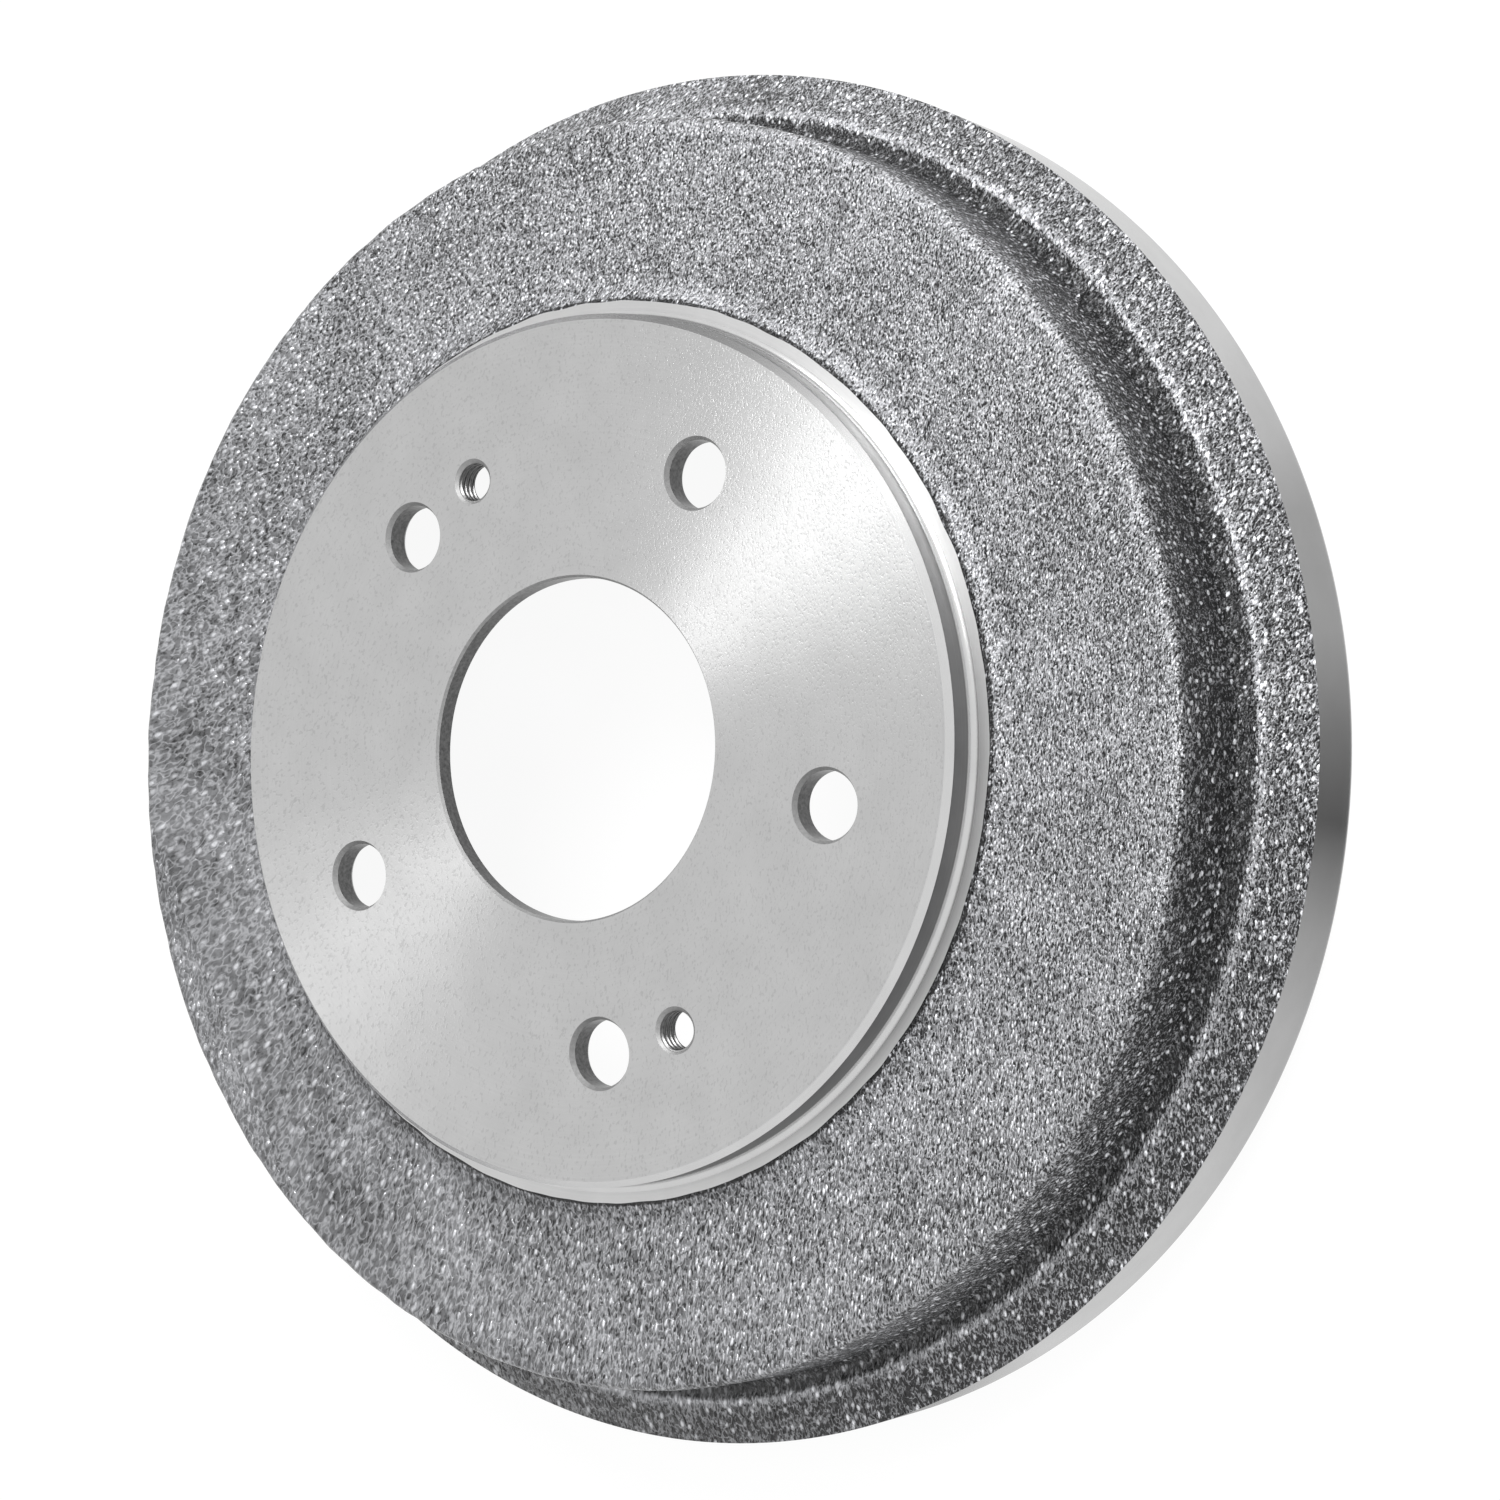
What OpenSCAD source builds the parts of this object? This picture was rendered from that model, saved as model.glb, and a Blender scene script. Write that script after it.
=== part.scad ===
// Brake drum: one iron casting, turned on its hub boss, outer band, friction surface and seats.
// The drum lies on its open rim. Z is the axis, the hub face is on top, and the origin is the
// centre of the open rim. One stud hole lies on +Y and the two jack threads lie on the X axis.

/* [Overall] */
// Diameter of the friction surface
friction_d = 220; // [200:0.5:280]
// Height from the open rim to the hub face
drum_h = 51.8; // [44:0.1:80]

/* [Hub boss] */
// Diameter of the turned boss around the hub face
boss_d = 163.7; // [156:0.1:180]
// Thickness of the plate between the hub face and the seat inside
hub_t = 6; // [5:0.1:9]
// Chamfer round the hub face
face_chamfer = 1.2; // [0.4:0.1:2]
// Drop from the hub face to the turned ledge round the boss
ledge_drop = 7.35; // [5:0.05:8.5]
// Width of the turned ledge, measured from the boss
ledge_w = 3.4; // [2:0.1:6]
// Tool nose radius in the corner between boss and ledge
ledge_fillet = 1.3; // [0.4:0.1:1.8]

/* [Centre bore] */
// Diameter of the centre bore
bore_d = 64.5; // [56:0.1:72]
// Width of the front chamfer of the bore
bore_chamfer_w = 0.4; // [0.2:0.05:1]
// Depth of the front chamfer of the bore
bore_chamfer_t = 0.55; // [0.2:0.05:1]
// Lead-in chamfer at the back of the bore
bore_lead = 2.1; // [0.5:0.1:3]

/* [Stud holes] */
// Number of stud holes
stud_count = 5; // [3:1:6]
// Bolt circle of the stud holes and the jack threads
bolt_circle_d = 114.3; // [100:0.1:127]
// Diameter of a stud hole
stud_hole_d = 12.6; // [10:0.1:16]
// Width of the chamfers of a stud hole
stud_chamfer_w = 0.6; // [0.2:0.05:1.2]
// Depth of the chamfers of a stud hole
stud_chamfer_t = 1; // [0.2:0.05:1.2]

/* [Jack threads] */
// Diameter of a jack thread at its crests
jack_crest_d = 7; // [4:0.1:9]
// Angle from a jack thread to the stud hole next to it
jack_gap = 18; // [17:0.5:22]
// Width and depth of the chamfers of a jack thread
jack_chamfer = 0.9; // [0.2:0.1:1.2]

/* [Cast body] */
// Drop from the hub face to the cast face of the web
web_drop = 9.4; // [9:0.1:14]
// How far the cast face of the web falls from the boss to the shoulder
web_fall = 0.9; // [0:0.1:2]
// Thickness of the web, at the boss
web_t = 7.1; // [5:0.1:10]
// Height of the edge where the turned ledge meets the cast skin
skin_step = 0.3; // [0.1:0.05:0.4]
// Width of the cast slope from that edge down to the web
apron_w = 3.4; // [2:0.1:6]
// Fillet at the foot of that slope
apron_fillet = 6; // [2:0.5:8]
// Thickness of the drum wall outside the friction surface, at the web
wall_t = 10.5; // [8:0.1:12]
// Draft of the cast wall, in degrees
wall_draft = 2.3; // [0:0.1:4]
// Rounding of the shoulder between web and wall
shoulder_fillet = 2; // [1:0.1:8]

/* [Flange] */
// Reach of the turned band beyond the friction surface
flange_reach = 24.1; // [20.5:0.1:30]
// Height of the flange's cast front face above the open rim, at the wall
flange_h = 20.2; // [17:0.1:22]
// Width of the level valley floor between the wall and the flange's slope
valley_w = 4.2; // [3.9:0.1:5]
// Fillet between the wall and the flange
valley_fillet = 3; // [1:0.1:3.2]
// Rounding where the valley floor turns into the flange's slope
crest_fillet = 4; // [1:0.1:4]
// Height of the turned band above the open rim
band_h = 14.7; // [11:0.1:16]
// Chamfers of the open rim
rim_chamfer = 0.4; // [0.2:0.1:1]

/* [Backing plate groove] */
// Thickness of the lip outside the groove
lip_t = 5; // [3:0.1:5.4]
// Thickness of the ring between groove and friction surface
ring_t = 11; // [9:0.1:11.4]
// Depth of the groove from the open rim
groove_depth = 9; // [6:0.1:10]
// Fillets in the groove's floor
groove_fillet = 1.5; // [0.5:0.1:1.8]
// How far the ring's end lies behind the open rim
ring_set_back = 1; // [0.2:0.1:2]

/* [Inside] */
// Lead-in chamfer of the friction surface, measured across
lead_in_w = 1.2; // [0.5:0.1:2]
// Lead-in chamfer of the friction surface, measured along the axis
lead_in_h = 2; // [0.5:0.1:4]
// Depth of the cast relief behind the friction surface
relief_depth = 1.2; // [0.5:0.1:2]
// Length of that relief along the axis
relief_h = 5; // [4.5:0.1:8]
// Fillet between the relief and the web
relief_fillet = 3; // [1:0.1:3.2]
// Wall thickness of the boss round the hub pocket
pocket_wall_t = 6.9; // [5:0.1:8]
// Fillet in the corner of the hub pocket
pocket_fillet = 2; // [0.5:0.1:3]
// Rounding of the pocket's inner edge
pocket_edge = 2.5; // [0.5:0.1:4]

/* [Hidden] */
$fn = 72;
arc_step = 11;                          // degrees between two points of a rounded corner
cut = 1;                                // how far a cutter runs past the face that it opens
friction_r = friction_d / 2;
band_r = friction_r + flange_reach;
boss_r = boss_d / 2;
bore_r = bore_d / 2;
ledge_r = boss_r + ledge_w;
pocket_r = boss_r - pocket_wall_t;
ledge_z = drum_h - ledge_drop;
web_z = drum_h - web_drop;
web_rim_z = web_z - web_fall;
web_back_z = web_z - web_t;
seat_z = drum_h - hub_t;
shoulder_r = friction_r + wall_t;
valley_r = shoulder_r + (web_rim_z - flange_h) * tan(wall_draft);
ring_r = friction_r + ring_t;
lip_r = band_r - lip_t;
first_stud = 90;
stud_pitch = 360 / stud_count;
jack_angles = [for (side = [-1, 1]) first_stud + side * (stud_pitch + jack_gap)];

// The half section as corners going round it: [radius, height, fillet]
corners = [
    // front of the hub plate and the boss
    [bore_r, drum_h - bore_chamfer_t, 0],
    [bore_r + bore_chamfer_w, drum_h, 0],
    [boss_r - face_chamfer, drum_h, 0],
    [boss_r, drum_h - face_chamfer, 0],
    [boss_r, ledge_z, ledge_fillet],
    [ledge_r, ledge_z, 0],
    // cast web, shoulder, wall and flange
    [ledge_r, ledge_z - skin_step, 0],
    [ledge_r + apron_w, web_z, apron_fillet],
    [shoulder_r, web_rim_z, shoulder_fillet],
    [valley_r, flange_h, valley_fillet],
    [valley_r + valley_w, flange_h, crest_fillet],
    [band_r, band_h, 0],
    // turned band, lip and groove
    [band_r, rim_chamfer, 0],
    [band_r - rim_chamfer, 0, 0],
    [lip_r + rim_chamfer, 0, 0],
    [lip_r, rim_chamfer, 0],
    [lip_r, groove_depth, groove_fillet],
    [ring_r, groove_depth, groove_fillet],
    [ring_r, ring_set_back + rim_chamfer, 0],
    [ring_r - rim_chamfer, ring_set_back, 0],
    // friction surface and the back of the web
    [friction_r + lead_in_w, ring_set_back, 0],
    [friction_r, ring_set_back + lead_in_h, 0],
    [friction_r, web_back_z - relief_h, 0],
    [friction_r + relief_depth, web_back_z - relief_h + relief_depth, 0],
    [friction_r + relief_depth, web_back_z, relief_fillet],
    // hub pocket, seat and the back of the bore
    [pocket_r, web_back_z, pocket_edge],
    [pocket_r, seat_z, pocket_fillet],
    [bore_r + bore_lead, seat_z, 0],
    [bore_r, seat_z + bore_lead, 0]
];

function unit(v) = v / norm(v);
function xy(c) = [c[0], c[1]];
function angle_of(v) = atan2(v[1], v[0]);
// The turn from one angle to another by the short way round
function turn(from, to) = ((to - from + 540) % 360) - 180;

// A corner b between a and c as points, rounded with radius r
function rounded(a, b, c, r) = r == 0 ? [b] :
    let (
        to_a = unit(a - b),
        to_c = unit(c - b),
        half = acos(to_a * to_c) / 2,
        centre = b + unit(to_a + to_c) * r / sin(half),
        start = angle_of(b + to_a * r / tan(half) - centre),
        sweep = turn(start, angle_of(b + to_c * r / tan(half) - centre)),
        steps = ceil(abs(sweep) / arc_step)
    )
    [for (i = [0 : steps]) centre + r * [cos(start + sweep * i / steps), sin(start + sweep * i / steps)]];

function outline(list) = let (n = len(list)) [
    for (i = [0 : n - 1])
        each rounded(xy(list[(i + n - 1) % n]), xy(list[i]), xy(list[(i + 1) % n]), list[i][2])
];

// A drill through the hub plate with a chamfer at both faces
module plate_hole(r, chamfer_w, chamfer_t) {
    translate([0, 0, seat_z - cut])
        cylinder(r = r, h = hub_t + 2 * cut);
    translate([0, 0, drum_h - chamfer_t])
        cylinder(r1 = r, r2 = r + chamfer_w * (1 + cut / chamfer_t), h = chamfer_t + cut);
    translate([0, 0, seat_z - cut])
        cylinder(r1 = r + chamfer_w * (1 + cut / chamfer_t), r2 = r, h = chamfer_t + cut);
}

// Places what it is given on the bolt circle at an angle
module on_bolt_circle(angle) {
    rotate([0, 0, angle])
        translate([bolt_circle_d / 2, 0, 0])
            children();
}

module turned_casting() {
    rotate_extrude()
        polygon(outline(corners));
}

module stud_holes() {
    for (i = [0 : stud_count - 1])
        on_bolt_circle(first_stud + i * stud_pitch)
            plate_hole(stud_hole_d / 2, stud_chamfer_w, stud_chamfer_t);
}

module jack_holes() {
    for (angle = jack_angles)
        on_bolt_circle(angle)
            plate_hole(jack_crest_d / 2, jack_chamfer, jack_chamfer);
}

module brake_drum() {
    color("#a3a5a8")
        difference() {
            turned_casting();
            stud_holes();
            jack_holes();
        }
}

brake_drum();
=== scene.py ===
"""Looks of the brake drum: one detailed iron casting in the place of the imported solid, in a plain studio.

Sizes are in millimetres in the part's frame: Z is the drum's axis, the open rim rests on z = 0 and
the hub face is on top. A side is an angle round the axis as the camera sees the drum: 0 is its right
and 90 its top.
"""
import math

import bmesh
import bpy
import numpy as np
from mathutils import Matrix, Vector, noise
from mathutils.geometry import delaunay_2d_cdt


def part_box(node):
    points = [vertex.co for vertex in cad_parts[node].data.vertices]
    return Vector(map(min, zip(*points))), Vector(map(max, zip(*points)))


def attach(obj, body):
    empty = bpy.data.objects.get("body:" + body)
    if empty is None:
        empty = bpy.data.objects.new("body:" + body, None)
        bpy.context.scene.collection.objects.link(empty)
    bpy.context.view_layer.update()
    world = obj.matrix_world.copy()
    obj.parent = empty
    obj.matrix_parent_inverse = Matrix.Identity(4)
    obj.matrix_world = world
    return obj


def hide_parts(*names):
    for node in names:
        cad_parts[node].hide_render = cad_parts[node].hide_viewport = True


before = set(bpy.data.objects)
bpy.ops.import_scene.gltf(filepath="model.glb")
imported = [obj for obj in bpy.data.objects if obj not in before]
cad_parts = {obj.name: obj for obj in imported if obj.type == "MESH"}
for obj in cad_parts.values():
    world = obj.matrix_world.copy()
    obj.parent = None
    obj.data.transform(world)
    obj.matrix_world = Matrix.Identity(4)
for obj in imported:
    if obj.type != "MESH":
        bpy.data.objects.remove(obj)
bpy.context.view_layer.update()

MM = 0.001

# Camera, as found from the circles of the drum in the photograph
LENS = 73.89
SENSOR = 36.0
PAN = math.radians(-33.593)
TILT = math.radians(-1.865)
TURN = math.radians(115.862)
CAMERA_DISTANCE = 576.73
CAMERA_SHIFT_X = -33.507
CAMERA_SHIFT_Y = 0.245

# Sizes of the casting
DRUM_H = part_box("brake_drum")[1][2] / MM
BAND_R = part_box("brake_drum")[1][0] / MM
FRICTION_R = 110.0
BOSS_R = 81.85
HUB_T = 6.0
FACE_CHAMFER = 1.2
LEDGE_DROP = 7.35
LEDGE_W = 3.4
LEDGE_FILLET = 1.3
BORE_R = 32.25
BORE_CHAMFER_W = 0.4
BORE_CHAMFER_T = 0.55
BORE_LEAD = 2.1
BOLT_CIRCLE_R = 57.15
STUD_COUNT = 5
STUD_HOLE_R = 6.3
STUD_CHAMFER_W = 0.6
STUD_CHAMFER_T = 1.0
FIRST_STUD = math.radians(90)
JACK_CREST_R = 3.5
JACK_ROOT_R = 4.05
JACK_CHAMFER = 0.9
JACK_PITCH = 1.25
JACK_FLANK = math.radians(60)
JACK_ROOT_FLAT = JACK_PITCH / 8
JACK_ANGLES = (0.0, math.pi)
WEB_DROP = 9.4
WEB_FALL = 0.9
WEB_T = 7.1
SKIN_STEP = 0.3
SKIN_STEP_LEAN = 0.05
APRON_W = 3.4
APRON_FILLET = 6.0
WALL_T = 10.5
WALL_DRAFT = math.radians(2.3)
SHOULDER_FILLET = 2.0
FLANGE_H = 20.2
VALLEY_W = 4.2
VALLEY_FILLET = 3.0
CREST_FILLET = 4.0
BAND_H = 14.7
RIM_CHAMFER = 0.4
LIP_T = 5.0
RING_T = 11.0
GROOVE_DEPTH = 9.0
GROOVE_FILLET = 1.5
RING_SET_BACK = 1.0
LEAD_IN_W = 1.2
LEAD_IN_H = 2.0
RELIEF_DEPTH = 1.2
RELIEF_H = 5.0
RELIEF_FILLET = 3.0
POCKET_WALL_T = 6.9
POCKET_FILLET = 2.0
POCKET_EDGE = 2.5

LEDGE_R = BOSS_R + LEDGE_W
POCKET_R = BOSS_R - POCKET_WALL_T
LEDGE_Z = DRUM_H - LEDGE_DROP
WEB_Z = DRUM_H - WEB_DROP
WEB_RIM_Z = WEB_Z - WEB_FALL
WEB_BACK_Z = WEB_Z - WEB_T
SEAT_Z = DRUM_H - HUB_T
SHOULDER_R = FRICTION_R + WALL_T
VALLEY_R = SHOULDER_R + (WEB_RIM_Z - FLANGE_H) * math.tan(WALL_DRAFT)
RING_R = FRICTION_R + RING_T
LIP_R = BAND_R - LIP_T
CREST_R = VALLEY_R + VALLEY_W - 0.3     # the edge from which the flange slopes down
LEDGE_START_R = BOSS_R + LEDGE_FILLET + 0.1
SEAT_EDGE_R = POCKET_R - POCKET_FILLET - 1.0

# Uneven cast surface: size and height of its lumps, and how far from a machined surface it is complete
LUMPS = ((6.0, 0.16), (2.2, 0.10))
EVEN_MARGIN = 2.0
# How far the cast skin's machined edge wanders from its circle, and in how many waves for each radian
EDGE_WANDER = 0.3
EDGE_WAVES = 14

# Fineness of the mesh
SEGMENTS = 480
BORE_SEGMENTS = 240
HOLE_SEGMENTS = 72
THREAD_RINGS = 72
ARC_STEP = math.radians(12)
CAST_STEP = 1.0
BACK_STEP = 2.5

# Painted shade: a dark recess down the wall and in the valley, painted into the skin's colour where
# shade falls. The heights between which it deepens, how much of the tone it takes away, the side where
# it is deepest, and how far towards that side, as shares of the shoulder's radius, it is complete and gone
SHADE_TOP = 41.0
SHADE_FOOT = 36.0
SHADE_DEPTH = 0.97
SHADE_SIDE = 3
SHADE_REACH = (0.98, 0.7)
# Painted shade: share of its tone that the sloping flange keeps at the bottom and at the top, as the camera
# sees it, so that it is darker at the bottom and lighter at the top
CONE_SHADE_SHARE = (0.1, 0.84)
# Painted highlights and painted shade on edges of the skin: radius, width, lift at the shaded side and at the
# lit side. The first is a painted dark line at the ledge's edge; the others are painted highlights, brighter
# towards the lit side
LIT_EDGE_SIDE = 45
PAINTED_EDGE_LIGHT = ((LEDGE_R + 0.2, 0.6, -0.5, -0.5), (LEDGE_R + 1.8, 2.0, -0.08, 0.25),
              (SHOULDER_R - 1.5, 1.8, -0.02, 0.2), (CREST_R, 2.0, 0.14, 0.38))

# Grain of the cast skin. Pairs are values at the coarse side and at the fine side of the drum, and
# waves and cells are counted for each millimetre. The fine side is also the lit side: towards it the
# grain's bright specks, partly painted glints, and its dark pits, partly painted shade, grow stronger.
FINE_AND_LIT_SIDE = 30
SPAN = 110.0
GRAIN_SIDE = -20
GRAIN_SCALE = (0.63, 1.1)
GRAIN_PULL = (0.28, 0.9)
GRAIN_WAVES = 1.4
SPECK_CELLS = 0.75
SPECK_CELLS_OUTSIDE = 0.65
LINE_WAVES = 0.8
CLOUD_WAVES = 0.6
CLOUD_TONE = 0.08
# Painted shade beside the specks: the pits are darker towards the lit side
PIT_TONE = (0.15, 0.6)
# Painted glints: the grain shows stronger towards the lit side on the web and on the wall
WEB_CONTRAST = (0.8, 1.8)
WALL_CONTRAST = (1.0, 2.2)
FLANGE_CONTRAST = 1.1
VALLEY_CONTRAST = 0.4
PATCH_WAVES = 0.05
PATCH_TONE = (0.13, 0.3)
# Painted light: the skin's tone a little darker opposite the lit side and lighter towards it
LIT_SIDE_TONE = (-0.02, 0.04)
TONE_TO_RAMP = 0.7
SKIN_RELIEF = 0.6

# Turned surfaces
TURNING_FINENESS = 2.2
TURNING_TONE = 0.012
SMUDGE_WAVES = 0.1
SMUDGE_TONE = 0.02
FLECK_TONE = 0.07
PIT_RELIEF = 50.0
TURNED_RELIEF = 0.001

# Studio. The darkness of the flat dark card and of the upright one is given at some sides.
FLOOR_SIZE = 6000.0
FLOOR_GLOW = 0.93
FLOOR_PALE = 0.95
FLOOR_GREY = 0.3
WORLD_LIGHT = 0.25
CARD_Z = 0.3
CARD_NEAR = 134.3
CARD_FAR = 210.0
CARD_DARK = ((-98, 0.0), (-78, 0.75), (-56, 0.0), (-38, 0.0), (-22, 0.2), (-13, 0.46), (-5, 0.87),
             (2, 0.73), (10, 0.44), (20, 0.42), (26, 0.2), (36, 0.0))
FLAG_REACH = 400.0
FLAG_TOP = 210.0
FLAG_DARK = ((54, 0.0), (76, 0.4), (92, 0.62), (110, 0.7), (134, 0.45), (160, 0.0))
LAMP_DISTANCE = 900.0

# Looks, in the order of the casting's material slots
HUB, EDGE, BOSS_WALL, LEDGE, TURNED, SKIN, BACK_SKIN, HOLE_EDGE, HOLE_WALL, FRICTION = range(10)
CAST_LOOKS = (SKIN, BACK_SKIN)

# Corners of the half section: radius, height, fillet, look of the stretch that starts there, and how
# far the edge there wanders from its circle. The last one only gives the seat its direction.
SECTION = (
    (BOSS_R - FACE_CHAMFER, DRUM_H, 0, EDGE, 0),
    (BOSS_R, DRUM_H - FACE_CHAMFER, 0, BOSS_WALL, 0),
    (BOSS_R, LEDGE_Z, LEDGE_FILLET, EDGE, 0),
    (LEDGE_START_R, LEDGE_Z, 0, LEDGE, 0),
    (LEDGE_R, LEDGE_Z, 0, SKIN, EDGE_WANDER),
    (LEDGE_R + SKIN_STEP_LEAN, LEDGE_Z - SKIN_STEP, 0, SKIN, EDGE_WANDER),
    (LEDGE_R + APRON_W, WEB_Z, APRON_FILLET, SKIN, 0),
    (SHOULDER_R, WEB_RIM_Z, SHOULDER_FILLET, SKIN, 0),
    (VALLEY_R, FLANGE_H, VALLEY_FILLET, SKIN, 0),
    (VALLEY_R + VALLEY_W, FLANGE_H, CREST_FILLET, SKIN, 0),
    (BAND_R, BAND_H, 0, TURNED, 0),
    (BAND_R, RIM_CHAMFER, 0, TURNED, 0),
    (BAND_R - RIM_CHAMFER, 0, 0, TURNED, 0),
    (LIP_R + RIM_CHAMFER, 0, 0, TURNED, 0),
    (LIP_R, RIM_CHAMFER, 0, TURNED, 0),
    (LIP_R, GROOVE_DEPTH, GROOVE_FILLET, TURNED, 0),
    (RING_R, GROOVE_DEPTH, GROOVE_FILLET, TURNED, 0),
    (RING_R, RING_SET_BACK + RIM_CHAMFER, 0, TURNED, 0),
    (RING_R - RIM_CHAMFER, RING_SET_BACK, 0, TURNED, 0),
    (FRICTION_R + LEAD_IN_W, RING_SET_BACK, 0, TURNED, 0),
    (FRICTION_R, RING_SET_BACK + LEAD_IN_H, 0, FRICTION, 0),
    (FRICTION_R, WEB_BACK_Z - RELIEF_H, 0, BACK_SKIN, 0),
    (FRICTION_R + RELIEF_DEPTH, WEB_BACK_Z - RELIEF_H + RELIEF_DEPTH, 0, BACK_SKIN, 0),
    (FRICTION_R + RELIEF_DEPTH, WEB_BACK_Z, RELIEF_FILLET, BACK_SKIN, 0),
    (POCKET_R, WEB_BACK_Z, POCKET_EDGE, BACK_SKIN, 0),
    (POCKET_R, SEAT_Z, POCKET_FILLET, TURNED, 0),
    (SEAT_EDGE_R, SEAT_Z, 0, TURNED, 0),
)


def row_angle(side):
    """The angle in the part's frame of a side given in degrees as the camera sees it."""
    return math.radians(side) - TURN


def direction(side):
    """The level direction in which a side of the drum lies."""
    turn = row_angle(side)
    return math.cos(turn), math.sin(turn), 0


def rounded(before, corner, after, radius):
    """A corner as points on its fillet."""
    a = (before - corner) / np.linalg.norm(before - corner)
    c = (after - corner) / np.linalg.norm(after - corner)
    half = math.acos(float(np.clip(a @ c, -1, 1))) / 2
    middle = (a + c) / np.linalg.norm(a + c)
    centre = corner + middle * radius / math.sin(half)
    start = corner + a * radius / math.tan(half) - centre
    end = corner + c * radius / math.tan(half) - centre
    first = math.atan2(start[1], start[0])
    sweep = (math.atan2(end[1], end[0]) - first + math.pi) % (2 * math.pi) - math.pi
    steps = max(2, math.ceil(abs(sweep) / ARC_STEP))
    turns = [first + sweep * i / steps for i in range(steps + 1)]
    return [centre + radius * np.array((math.cos(turn), math.sin(turn))) for turn in turns]


def section_rings():
    """The half section as rings: point, look of the stretch after it, crease, wander."""
    rings = []
    corners = [np.array(row[:2]) for row in SECTION]
    for i, (_, _, radius, look, wander) in enumerate(SECTION):
        if radius:
            points = rounded(corners[i - 1], corners[i], corners[i + 1], radius)
            rings += [(point, look, False, 0) for point in points]
        else:
            rings.append((corners[i], look, True, wander))
    return rings[:-1]


def filled_rings(rings):
    """The rings with more between them where the skin is cast, so that it can be uneven."""
    steps = {SKIN: CAST_STEP, BACK_SKIN: BACK_STEP}
    out = []
    for ring, following in zip(rings, rings[1:]):
        point, look = ring[:2]
        way = following[0] - point
        out.append(ring)
        if look in steps:
            pieces = math.ceil(np.linalg.norm(way) / steps[look])
            out += [(point + way * k / pieces, look, False, 0) for k in range(1, pieces)]
    out.append(rings[-1])
    return out


def unevenness(place, reach):
    """How far the cast skin stands out at a place."""
    return reach * sum(noise.noise(place / size) * height for size, height in LUMPS)


def placed(name, content):
    """A new object in the scene with a mesh, lamp or camera."""
    made = bpy.data.objects.new(name, content)
    bpy.context.collection.objects.link(made)
    return made


class Casting:
    """Collects the rings, faces, looks and creases of one closed mesh."""

    def __init__(self):
        self.points = []
        self.faces = []
        self.looks = []
        self.creases = []

    def ring(self, points, crease=False):
        """Adds a closed ring of points, which is a sharp edge where it has a crease."""
        start = len(self.points)
        self.points.extend(points)
        indices = list(range(start, start + len(points)))
        if crease:
            self.creases += list(zip(indices, indices[1:] + indices[:1]))
        return indices

    def strip(self, above, below, look):
        """Joins two rings with the same number of points."""
        n = len(above)
        for i in range(n):
            j = (i + 1) % n
            self.faces.append((above[i], above[j], below[j], below[i]))
            self.looks.append(look)

    def plate(self, outer, holes, look):
        """Fills the flat face between an outer ring and the rings of its holes."""
        loops = [outer] + holes
        owner = [(k, index) for k, loop in enumerate(loops) for index in loop]
        flat = [Vector(self.points[index][:2]) for _, index in owner]
        edges = []
        start = 0
        for loop in loops:
            edges += [(start + i, start + (i + 1) % len(loop)) for i in range(len(loop))]
            start += len(loop)
        _, _, triangles, origins, _, _ = delaunay_2d_cdt(flat, edges, [], 0, 1e-6)
        for triangle in triangles:
            corners = [owner[origins[v][0]] for v in triangle]
            rings = {k for k, _ in corners}
            if rings == {0} or len(rings) > 1:
                self.faces.append(tuple(index for _, index in corners))
                self.looks.append(look)

    def build(self, name, materials):
        """The object, smooth apart from its creases."""
        mesh = bpy.data.meshes.new(name)
        mesh.from_pydata([Vector(p) * MM for p in self.points], [], self.faces)
        for material in materials:
            mesh.materials.append(material)
        mesh.polygons.foreach_set("material_index", self.looks)
        bm = bmesh.new()
        bm.from_mesh(mesh)
        bmesh.ops.recalc_face_normals(bm, faces=bm.faces)
        bm.to_mesh(mesh)
        bm.free()
        mesh.polygons.foreach_set("use_smooth", [True] * len(mesh.polygons))
        ends = np.empty(2 * len(mesh.edges), dtype=np.int64)
        mesh.edges.foreach_get("vertices", ends)
        size = len(self.points)
        low, high = np.sort(ends.reshape(-1, 2), axis=1).T
        creases = np.sort(np.array(self.creases), axis=1)
        sharp = np.isin(low * size + high, creases[:, 0] * size + creases[:, 1])
        mesh.attributes.new("sharp_edge", "BOOLEAN", "EDGE").data.foreach_set("value", sharp)
        return placed(name, mesh)


def circle(x, y, z, radius, count):
    """The points of a level circle."""
    turns = [2 * math.pi * i / count for i in range(count)]
    return [(x + radius * math.cos(a), y + radius * math.sin(a), z) for a in turns]


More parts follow.
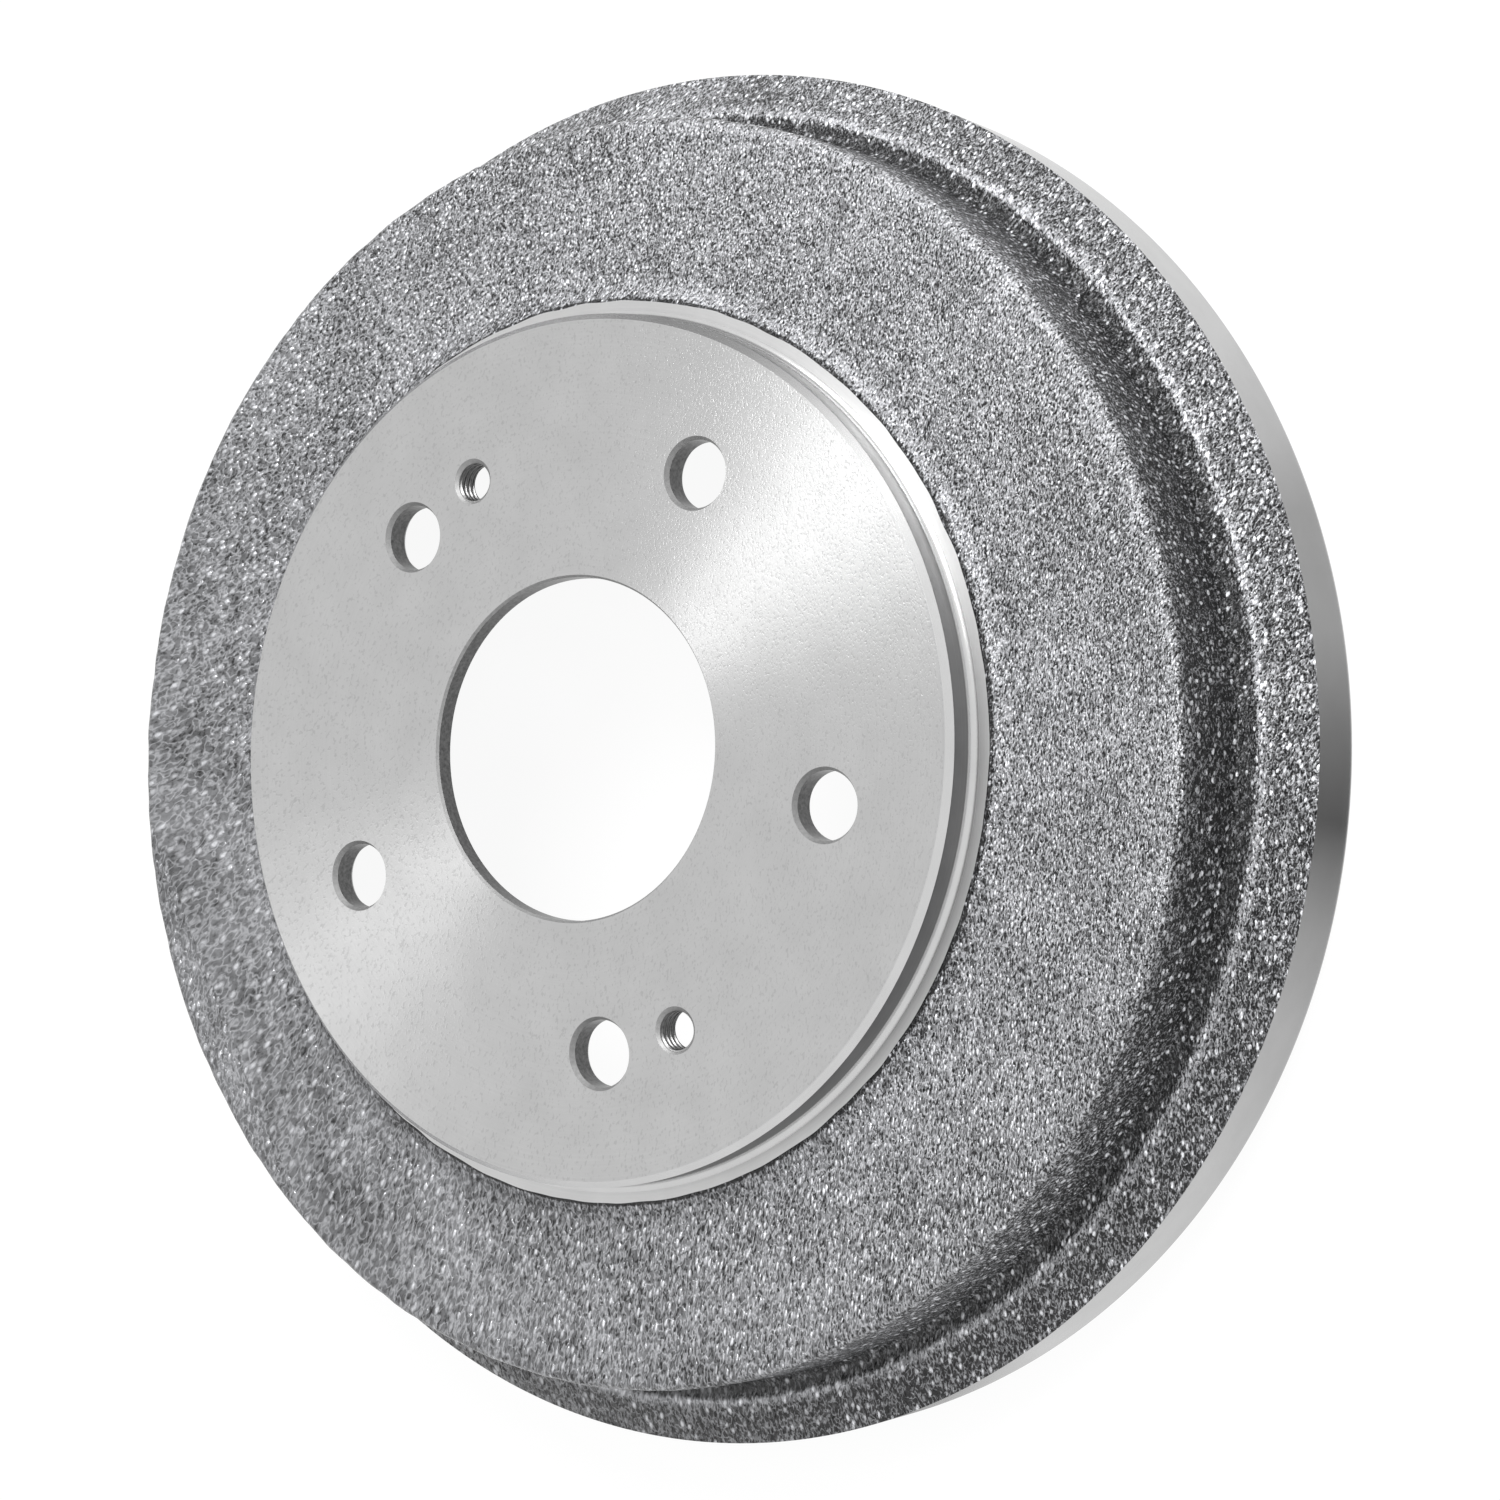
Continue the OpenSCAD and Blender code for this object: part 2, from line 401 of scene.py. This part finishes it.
def sweep_section(casting):
    """Turns the half section round the axis. Returns the rings of the hub face and of the seat."""
    rings = filled_rings(section_rings())
    corners = np.array([ring[0] for ring in rings])
    along = np.gradient(corners, axis=0)
    outward = np.stack([along[:, 1], -along[:, 0]], 1) / np.linalg.norm(along, axis=1)[:, None]
    length = np.concatenate([[0], np.cumsum(np.linalg.norm(np.diff(corners, axis=0), axis=1))])
    turned = [ring[1] not in CAST_LOOKS for ring in rings]
    machined = length[[k for k in range(len(rings)) if turned[k] or (k and turned[k - 1])]]
    angles = [2 * math.pi * i / SEGMENTS for i in range(SEGMENTS)]
    made = []
    for k, (point, _, crease, wander) in enumerate(rings):
        reach = min(1.0, float(np.abs(machined - length[k]).min()) / EVEN_MARGIN)
        points = []
        for a in angles:
            x, y = math.cos(a), math.sin(a)
            push = 0.0
            if reach:
                push = unevenness(Vector((point[0] * x, point[0] * y, point[1])), reach)
            slide = wander * noise.noise(Vector((x, y, 0)) * EDGE_WAVES) if wander else 0.0
            r = point[0] + outward[k][0] * push + slide
            points.append((r * x, r * y, point[1] + outward[k][1] * push))
        made.append(casting.ring(points, crease))
    for k in range(len(rings) - 1):
        casting.strip(made[k], made[k + 1], rings[k][1])
    return made[0], made[-1]


def drill(casting, x, y, rings, count):
    """A round hole through the hub plate from rings of radius and height. Returns its end rings."""
    made = [casting.ring(circle(x, y, z, r, count), True) for r, z in rings]
    for above, below, look in zip(made, made[1:], (HOLE_EDGE, HOLE_WALL, HOLE_EDGE)):
        casting.strip(above, below, look)
    return made[0], made[-1]


def tap(casting, x, y):
    """A threaded hole through the hub plate. Returns its end rings."""
    made = []
    for k in range(THREAD_RINGS + 1):
        z = DRUM_H - HUB_T * k / THREAD_RINGS
        mouth = JACK_CREST_R + JACK_CHAMFER - min(DRUM_H - z, z - SEAT_Z)
        points = []
        for i in range(HOLE_SEGMENTS):
            a = 2 * math.pi * i / HOLE_SEGMENTS
            off_root = abs((z / JACK_PITCH - a / (2 * math.pi)) % 1 - 0.5) * JACK_PITCH
            thread = JACK_ROOT_R - max(0.0, off_root - JACK_ROOT_FLAT / 2) * math.tan(JACK_FLANK)
            r = max(mouth, min(JACK_ROOT_R, max(JACK_CREST_R, thread)))
            points.append((x + r * math.cos(a), y + r * math.sin(a), z))
        made.append(casting.ring(points, k in (0, THREAD_RINGS)))
    rim = round(JACK_CHAMFER / HUB_T * THREAD_RINGS)
    for k, (above, below) in enumerate(zip(made, made[1:])):
        casting.strip(above, below, HOLE_WALL if rim <= k < THREAD_RINGS - rim else HOLE_EDGE)
    return made[0], made[-1]


def on_bolt_circle(angle):
    """The place of a hole on the bolt circle."""
    return BOLT_CIRCLE_R * math.cos(angle), BOLT_CIRCLE_R * math.sin(angle)


def make_casting(materials):
    """The whole drum as one closed mesh."""
    casting = Casting()
    face_ring, seat_ring = sweep_section(casting)
    bore = ((BORE_R + BORE_CHAMFER_W, DRUM_H), (BORE_R, DRUM_H - BORE_CHAMFER_T),
            (BORE_R, SEAT_Z + BORE_LEAD), (BORE_R + BORE_LEAD, SEAT_Z))
    stud = ((STUD_HOLE_R + STUD_CHAMFER_W, DRUM_H), (STUD_HOLE_R, DRUM_H - STUD_CHAMFER_T),
            (STUD_HOLE_R, SEAT_Z + STUD_CHAMFER_T), (STUD_HOLE_R + STUD_CHAMFER_W, SEAT_Z))
    holes = [drill(casting, 0, 0, bore, BORE_SEGMENTS)]
    for i in range(STUD_COUNT):
        x, y = on_bolt_circle(FIRST_STUD + 2 * math.pi * i / STUD_COUNT)
        holes.append(drill(casting, x, y, stud, HOLE_SEGMENTS))
    for angle in JACK_ANGLES:
        holes.append(tap(casting, *on_bolt_circle(angle)))
    casting.plate(face_ring, [top for top, _ in holes], HUB)
    casting.plate(seat_ring, [bottom for _, bottom in holes], TURNED)
    return casting.build("drum_casting", materials)


class Shader:
    """A material whose nodes are added one by one."""

    def __init__(self, name):
        self.material = bpy.data.materials.new(name)
        self.material.use_nodes = True
        self.tree = self.material.node_tree
        self.tree.nodes.clear()
        self.output = self.tree.nodes.new("ShaderNodeOutputMaterial")

    def add(self, kind, inputs=None, **settings):
        """A node with its inputs set to values or linked to outputs of other nodes."""
        made = self.tree.nodes.new("ShaderNode" + kind)
        for key, value in settings.items():
            setattr(made, key, value)
        for key, value in (inputs or {}).items():
            if isinstance(value, bpy.types.NodeSocket):
                self.tree.links.new(value, made.inputs[key])
            else:
                made.inputs[key].default_value = value
        return made

    def math(self, operation, a, b=0.0):
        return self.add("Math", {0: a, 1: b}, operation=operation).outputs[0]

    def vector(self, operation, a, b=None, scale=1.0):
        """The outputs of a calculation with one vector and a scale, or with two vectors."""
        inputs = {0: a, "Scale": scale} if b is None else {0: a, 1: b}
        return self.add("VectorMath", inputs, operation=operation).outputs

    def spread(self, value, low, high, to_low=0.0, to_high=1.0):
        """A value between low and high spread over another range, and held at that range's ends."""
        inputs = {"Value": value, "From Min": low, "From Max": high, "To Min": to_low, "To Max": to_high}
        return self.add("MapRange", inputs).outputs[0]

    def blend(self, share, one, other):
        """One value where the share is 0 and the other where it is 1."""
        return self.spread(share, 0.0, 1.0, one, other)

    def spot(self):
        """The place on the drum in millimetres."""
        place = self.add("TexCoord").outputs["Object"]
        return self.vector("SCALE", place, scale=1 / MM)[0]

    def grey(self, level):
        """The grey of a brightness."""
        return self.add("CombineColor", {0: level, 1: level, 2: level}).outputs[0]

    def from_axis(self, place):
        """Distance from the drum's axis, and height."""
        parts = self.add("SeparateXYZ", {0: place})
        squares = [self.math("POWER", parts.outputs[i], 2.0) for i in range(2)]
        return self.math("SQRT", self.math("ADD", *squares)), parts.outputs[2]

    def ahead(self, place, side):
        """How far a place lies towards a side of the drum."""
        return self.vector("DOT_PRODUCT", place, direction(side))["Value"]

    def drift(self, place, side, ends):
        """A value that changes evenly across the drum, from opposite a side up to that side."""
        return self.spread(self.ahead(place, side), -SPAN, SPAN, *ends)

    def noise(self, place, scale, detail=2.0, roughness=0.5, distortion=0.0):
        inputs = {"Vector": place, "Scale": scale, "Detail": detail, "Roughness": roughness,
                  "Distortion": distortion}
        return self.add("TexNoise", inputs).outputs[0]

    def cells(self, place, scale, bend):
        """Distance to the middle of the nearest of many uneven cells, and a chance value of that cell."""
        swing = self.add("TexNoise", {"Vector": place, "Scale": 1.1, "Detail": 1.0}).outputs[1]
        moved = self.vector("ADD", place, self.vector("SCALE", swing, scale=bend / scale)[0])[0]
        made = self.add("TexVoronoi", {"Vector": moved, "Scale": scale})
        return made.outputs["Distance"], self.add("SeparateColor", {0: made.outputs["Color"]}).outputs[0]

    def specks(self, place, scale, rare):
        """Round specks of uneven brightness, rarer with a higher value, and their bare shapes."""
        distance, chance = self.cells(place, scale, 0.3)
        drops = self.spread(distance, 0.5, 0.18)
        return self.math("MULTIPLY", drops, self.spread(chance, rare, 1.0)), drops

    def winding_lines(self, place, scale):
        """1 on thin winding lines and 0 away from them."""
        wave = self.noise(place, scale, 1.0, 0.5, 0.2)
        return self.spread(self.math("ABSOLUTE", self.math("SUBTRACT", wave, 0.5)), 0.09, 0.0)

    def ramp(self, value, stops):
        """Greys with a slight blue tint at given places between 0 and 1."""
        made = self.add("ValToRGB", {0: value})
        elements = made.color_ramp.elements
        while len(elements) < len(stops):
            elements.new(1.0)
        for element, (position, grey) in zip(elements, stops):
            element.position = position
            element.color = (grey * 0.99, grey, grey * 1.04, 1)
        return made.outputs[0]

    def grained(self, place):
        """The place warped so that the grain is fine and drawn out at the fine side, and coarse opposite."""
        scale = self.drift(place, FINE_AND_LIT_SIDE, GRAIN_SCALE)
        pull = self.math("MULTIPLY", self.ahead(place, GRAIN_SIDE), self.drift(place, FINE_AND_LIT_SIDE, GRAIN_PULL))
        pulled = self.vector("SCALE", direction(GRAIN_SIDE), scale=pull)[0]
        return self.vector("ADD", self.vector("SCALE", place, scale=scale)[0], pulled)[0]

    def painted_shade(self, place):
        """1 on the open skin, and less down the wall, in the valley and on the sloping flange: painted shade,
        deepest at one side down the wall, and darker towards the bottom of the flange."""
        radius, height = self.from_axis(place)
        down = self.spread(height, SHADE_TOP, SHADE_FOOT)
        inside = self.spread(radius, CREST_R + 0.1, CREST_R - 0.7)
        near, away = (share * SHOULDER_R for share in SHADE_REACH)
        aside = self.spread(self.ahead(place, SHADE_SIDE), near, away)
        high = self.spread(height, FLANGE_H + 1.0, SHADE_FOOT + 1.0, 0.1, 1.0)
        depth = self.blend(self.math("MULTIPLY", aside, high), SHADE_DEPTH, 0.0)
        taken = self.math("MULTIPLY", self.math("MULTIPLY", down, inside), depth)
        # Painted shade: the sloping flange darker at the bottom and lighter at the top
        cone = self.drift(place, 90, CONE_SHADE_SHARE)
        return self.math("MULTIPLY", self.math("SUBTRACT", 1.0, taken),
                         self.spread(radius, CREST_R + 0.5, CREST_R + 2.0, 1.0, cone))

    def painted_edge_light(self, place):
        """0 on most of the skin, and more or less on its edges: painted highlights that are brighter towards
        one side, and a painted dark line at the ledge's edge.
        """
        radius, _ = self.from_axis(place)
        ahead = self.ahead(place, LIT_EDGE_SIDE)
        total = 0.0
        for edge, width, least, most in PAINTED_EDGE_LIGHT:
            away = self.math("ABSOLUTE", self.math("SUBTRACT", radius, edge))
            lift = self.spread(ahead, 0.5 * edge, edge, least, most)
            total = self.math("ADD", total, self.math("MULTIPLY", self.spread(away, width, 0.2), lift))
        return total

    def turning(self, place):
        """Rings round the axis, as a turning tool leaves them: a value for each radius and height."""
        radius, height = self.from_axis(place)
        reach = self.math("MULTIPLY", self.math("ADD", radius, height), TURNING_FINENESS)
        return self.add("TexNoise", {"W": reach, "Scale": 1.0, "Detail": 3.0, "Roughness": 0.7},
                        noise_dimensions="1D").outputs[0]

    def show(self, shading):
        """Ends the material in a shader's output."""
        self.tree.links.new(shading, self.output.inputs["Surface"])
        return self.material

    def finish(self, inputs, tangent=False):
        """Ends the material in a surface, which is brushed round the axis where it has a tangent."""
        made = self.add("BsdfPrincipled", inputs)
        if tangent:
            ring = self.add("Tangent", direction_type="RADIAL", axis="Z")
            self.tree.links.new(ring.outputs[0], made.inputs["Tangent"])
        return self.show(made.outputs[0])


def skin_zones(s, place):
    """Shares that are 1 beyond the shoulder, on the flange, and on the floor of the valley."""
    radius, _ = s.from_axis(place)
    outside = s.spread(radius, SHOULDER_R - 0.5, SHOULDER_R + 0.3)
    flange = s.spread(radius, CREST_R - 1.5, CREST_R)
    valley = s.math("MULTIPLY", s.spread(radius, VALLEY_R - 0.6, VALLEY_R + 0.6), s.blend(flange, 1.0, 0.0))
    return outside, flange, valley


def skin_gleam(s, place, fine, outside, flange):
    """Bright specks, partly painted glints, winding lines and soft clouds of the grain, and the bare shapes
    of the specks.
    """
    gleam, drops = s.specks(fine, SPECK_CELLS, 0.2)
    gleam_outside, _ = s.specks(fine, SPECK_CELLS_OUTSIDE, s.blend(flange, 0.5, 0.3))
    gleam = s.blend(outside, gleam, gleam_outside)
    # Painted glints: the specks are brighter towards the lit side
    gleam = s.math("MULTIPLY", gleam, s.spread(s.ahead(place, FINE_AND_LIT_SIDE), -SPAN, 30.0, 0.8, 1.0))
    line_tone = s.blend(outside, 0.35, s.blend(flange, 0.16, 0.3))
    lines = s.math("MULTIPLY", s.winding_lines(fine, LINE_WAVES), line_tone)
    clouds = s.spread(s.noise(fine, CLOUD_WAVES, 3.0, 0.6), 0.3, 0.7, -CLOUD_TONE, CLOUD_TONE)
    return s.math("ADD", s.math("MAXIMUM", gleam, lines), clouds), drops


def skin_contrast(s, place, outside, flange, valley):
    """How strongly the grain shows: stronger towards the lit side on the web and on the wall, as painted
    glints and painted shade.
    """
    wall = s.spread(s.ahead(place, FINE_AND_LIT_SIDE), -60.0, 30.0, *WALL_CONTRAST)
    beyond = s.blend(outside, 1.0, s.blend(flange, wall, FLANGE_CONTRAST))
    contrast = s.math("MULTIPLY", s.drift(place, FINE_AND_LIT_SIDE, WEB_CONTRAST), beyond)
    return s.math("MULTIPLY", contrast, s.blend(valley, 1.0, VALLEY_CONTRAST))


def skin_tone(s, place):
    """Brightness of the skin without its grain, with painted shade in its recesses and on the flange, painted
    highlights and shade on its edges, and a tone painted lighter towards the lit side.
    """
    patches = s.spread(s.noise(place, PATCH_WAVES, 3.0, 0.6), 0.3, 0.7, *PATCH_TONE)
    # Painted highlights and shade on the edges, and the tone painted lighter towards the lit side
    tone = s.math("ADD", s.math("ADD", patches, s.painted_edge_light(place)), s.drift(place, FINE_AND_LIT_SIDE, LIT_SIDE_TONE))
    # Painted shade down the wall, in the valley and on the sloping flange
    return s.math("MULTIPLY", tone, s.painted_shade(place))


def cast_skin(name, dark, light):
    s = Shader(name)
    place = s.spot()
    fine = s.grained(place)
    outside, flange, valley = skin_zones(s, place)
    gleam, drops = skin_gleam(s, place, fine, outside, flange)
    grain = s.noise(fine, GRAIN_WAVES, 2.0, 0.55, 0.3)
    # Dark pits, partly painted shade beside the specks, darker towards the lit side
    pits = s.math("MULTIPLY", s.spread(grain, 0.5, 0.3), s.drift(place, FINE_AND_LIT_SIDE, PIT_TONE))
    contrast = skin_contrast(s, place, outside, flange, valley)
    detail = s.math("MULTIPLY", s.math("SUBTRACT", gleam, pits), contrast)
    tone = s.math("ADD", skin_tone(s, place), detail)
    colour = s.ramp(s.math("MULTIPLY", tone, TONE_TO_RAMP), ((0.0, dark), (1.0, light)))
    height = s.math("ADD", s.math("MULTIPLY", grain, 0.9), s.math("MULTIPLY", drops, 0.6))
    height = s.math("ADD", height, s.math("MULTIPLY", s.noise(place, 0.25), 0.8))
    bump = s.add("Bump", {"Strength": 1.0, "Distance": SKIN_RELIEF * MM, "Height": height})
    return s.finish({"Base Color": colour, "Metallic": 0.4, "Roughness": 0.22, "Normal": bump.outputs[0]})


def turned_metal(name, grey, roughness, anisotropy, pitting=0.0):
    """Metal with fine turning rings, faint smudges and, where it has them, small pits and dark flecks."""
    s = Shader(name)
    place = s.spot()
    rings = s.turning(place)
    smudge = s.spread(s.noise(place, SMUDGE_WAVES, 4.0, 0.6), 0.3, 0.7, -SMUDGE_TONE, SMUDGE_TONE)
    tone = s.math("ADD", s.spread(rings, 0.25, 0.75, -TURNING_TONE, TURNING_TONE), smudge)
    marks = s.noise(s.grained(place), GRAIN_WAVES, 2.0, 0.6, 0.3)
    flecks = s.math("MULTIPLY", s.spread(marks, 0.43, 0.36), pitting * FLECK_TONE)
    colour = s.grey(s.math("ADD", s.math("SUBTRACT", tone, flecks), grey))
    pits = s.math("MULTIPLY", s.spread(marks, 0.5, 0.3), pitting * PIT_RELIEF)
    height = s.math("SUBTRACT", rings, pits)
    bump = s.add("Bump", {"Strength": 0.4, "Distance": TURNED_RELIEF * MM, "Height": height})
    inputs = {"Base Color": colour, "Metallic": 1.0, "Roughness": roughness, "Anisotropic": anisotropy,
              "Anisotropic Rotation": 0.25, "Normal": bump.outputs[0]}
    return s.finish(inputs, tangent=True)


def drilled_metal(name, dark, light, roughness):
    s = Shader(name)
    colour = s.grey(s.spread(s.noise(s.spot(), 1.5, 3.0, 0.6), 0.3, 0.7, dark, light))
    return s.finish({"Base Color": colour, "Metallic": 1.0, "Roughness": roughness})


def studio_floor():
    """Pale to the camera and in reflections, and grey as a source of light. It takes shadows."""
    s = Shader("studio_floor")
    ray = s.add("LightPath")
    seen = s.math("MAXIMUM", ray.outputs["Is Camera Ray"], ray.outputs["Is Glossy Ray"])
    seen = s.math("MAXIMUM", seen, ray.outputs["Is Transmission Ray"])
    matt = s.add("BsdfDiffuse", {"Color": s.grey(s.blend(seen, FLOOR_GREY, FLOOR_PALE))})
    glow = s.add("Emission", {"Color": (1, 1, 1, 1), "Strength": 1.0})
    share = s.math("MULTIPLY", seen, FLOOR_GLOW)
    return s.show(s.add("MixShader", {0: share, 1: matt.outputs[0], 2: glow.outputs[0]}).outputs[0])


def make_floor():
    half = FLOOR_SIZE / 2 * MM
    mesh = bpy.data.meshes.new("floor")
    corners = [(-half, -half, 0), (half, -half, 0), (half, half, 0), (-half, half, 0)]
    mesh.from_pydata(corners, [], [(0, 1, 2, 3)])
    mesh.materials.append(studio_floor())
    placed("floor", mesh)


def card_look(name, darkness):
    """Black where the darkness is 1 and clear where it is 0. It is given as pairs of side and darkness."""
    s = Shader(name)
    place = s.spot()
    first, last = darkness[0][0], darkness[-1][0]
    middle = (first + last) / 2
    side = s.math("ARCTAN2", s.ahead(place, middle + 90), s.ahead(place, middle))
    share = s.spread(side, math.radians(first - middle), math.radians(last - middle))
    cover = s.ramp(share, [((at - first) / (last - first), dark) for at, dark in darkness])
    matt = s.add("BsdfDiffuse", {"Color": (0.02, 0.02, 0.02, 1)})
    clear = s.add("BsdfTransparent")
    return s.show(s.add("MixShader", {0: cover, 1: clear.outputs[0], 2: matt.outputs[0]}).outputs[0])


def make_card(name, darkness, inner, outer):
    """A dark card with soft ends that goes round the drum between two edges, given as radius and
    height. Only reflections show it."""
    first, last = darkness[0][0], darkness[-1][0]
    points = []
    for radius, height in (inner, outer):
        for side in range(first, last + 1):
            x, y, _ = direction(side)
            points.append(Vector((radius * x, radius * y, height)) * MM)
    row = last - first + 1
    mesh = bpy.data.meshes.new(name)
    mesh.from_pydata(points, [], [(i, i + 1, row + i + 1, row + i) for i in range(row - 1)])
    mesh.materials.append(card_look(name, darkness))
    card = placed(name, mesh)
    card.visible_camera = False
    card.visible_diffuse = False
    card.visible_shadow = False


def make_world():
    """White to the camera and in reflections, and a soft light otherwise."""
    world = bpy.data.worlds.new("studio")
    world.use_nodes = True
    tree = world.node_tree
    ray = tree.nodes.new("ShaderNodeLightPath")
    seen = tree.nodes.new("ShaderNodeMath")
    seen.operation = "MAXIMUM"
    tree.links.new(ray.outputs["Is Camera Ray"], seen.inputs[0])
    tree.links.new(ray.outputs["Is Glossy Ray"], seen.inputs[1])
    level = tree.nodes.new("ShaderNodeMapRange")
    level.inputs["To Min"].default_value = WORLD_LIGHT
    level.inputs["To Max"].default_value = 1.0
    tree.links.new(seen.outputs[0], level.inputs["Value"])
    tree.links.new(level.outputs[0], tree.nodes["Background"].inputs["Strength"])
    tree.nodes["Background"].inputs["Color"].default_value = (1, 1, 1, 1)
    bpy.context.scene.world = world


def softbox(name, side, height, size, power, glossy=True):
    """A square lamp at a side of the drum and at an angle above its hub face, turned to the drum."""
    x, y, _ = direction(side)
    up = math.radians(height)
    towards = Vector((math.cos(up) * x, math.cos(up) * y, math.sin(up)))
    lamp = bpy.data.lights.new(name, "AREA")
    lamp.size = size * MM
    lamp.energy = power
    made = placed(name, lamp)
    made.location = (towards * LAMP_DISTANCE + Vector((0, 0, DRUM_H))) * MM
    made.rotation_euler = towards.to_track_quat("Z", "Y").to_euler()
    made.visible_glossy = glossy


def make_camera():
    view = Matrix.Rotation(PAN, 3, "Y") @ Matrix.Rotation(TILT, 3, "X") @ Matrix.Rotation(TURN, 3, "Z")
    offset = Vector((CAMERA_SHIFT_X, CAMERA_SHIFT_Y, -CAMERA_DISTANCE)) * MM    # the hub face from the camera
    place = Vector((0, 0, DRUM_H * MM)) - view.transposed() @ offset
    lens = bpy.data.cameras.new("camera")
    lens.lens = LENS
    lens.sensor_width = SENSOR
    lens.clip_start = 0.01
    camera = placed("camera", lens)
    camera.matrix_world = Matrix.Translation(place) @ view.transposed().to_4x4()
    bpy.context.scene.camera = camera


looks = [
    turned_metal("hub_face", grey=0.525, roughness=0.31, anisotropy=0.84, pitting=1.0),
    turned_metal("turned_edge", grey=0.60, roughness=0.25, anisotropy=0.6),
    # Painted shade: the boss wall is a darker grey than the other turned metal, standing in for the shade on
    # it
    turned_metal("boss_wall", grey=0.22, roughness=0.55, anisotropy=0.0),
    turned_metal("turned_ledge", grey=0.60, roughness=0.34, anisotropy=0.6),
    turned_metal("turned_metal", grey=0.48, roughness=0.25, anisotropy=0.6),
    cast_skin("cast_skin", dark=0.015, light=0.85),
    cast_skin("back_skin", dark=0.07, light=0.3),
    drilled_metal("hole_edge", dark=0.30, light=0.38, roughness=0.6),
    drilled_metal("hole_wall", dark=0.07, light=0.15, roughness=0.3),
    turned_metal("friction_surface", grey=0.45, roughness=0.3, anisotropy=0.6),
]
drum = make_casting(looks)
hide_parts("brake_drum")
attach(drum, "root")

make_floor()
make_card("dark_card", CARD_DARK, (CARD_NEAR, CARD_Z), (CARD_FAR, CARD_Z))
make_card("dark_flag", FLAG_DARK, (FLAG_REACH, CARD_Z), (FLAG_REACH, FLAG_TOP))
make_world()
softbox("key", side=74, height=50, size=460, power=12)
softbox("top", side=0, height=88, size=700, power=4.6, glossy=False)
softbox("low", side=-64, height=12, size=460, power=5.2, glossy=False)
make_camera()
bpy.context.scene.view_settings.view_transform = "Standard"

bpy.context.view_layer.update()
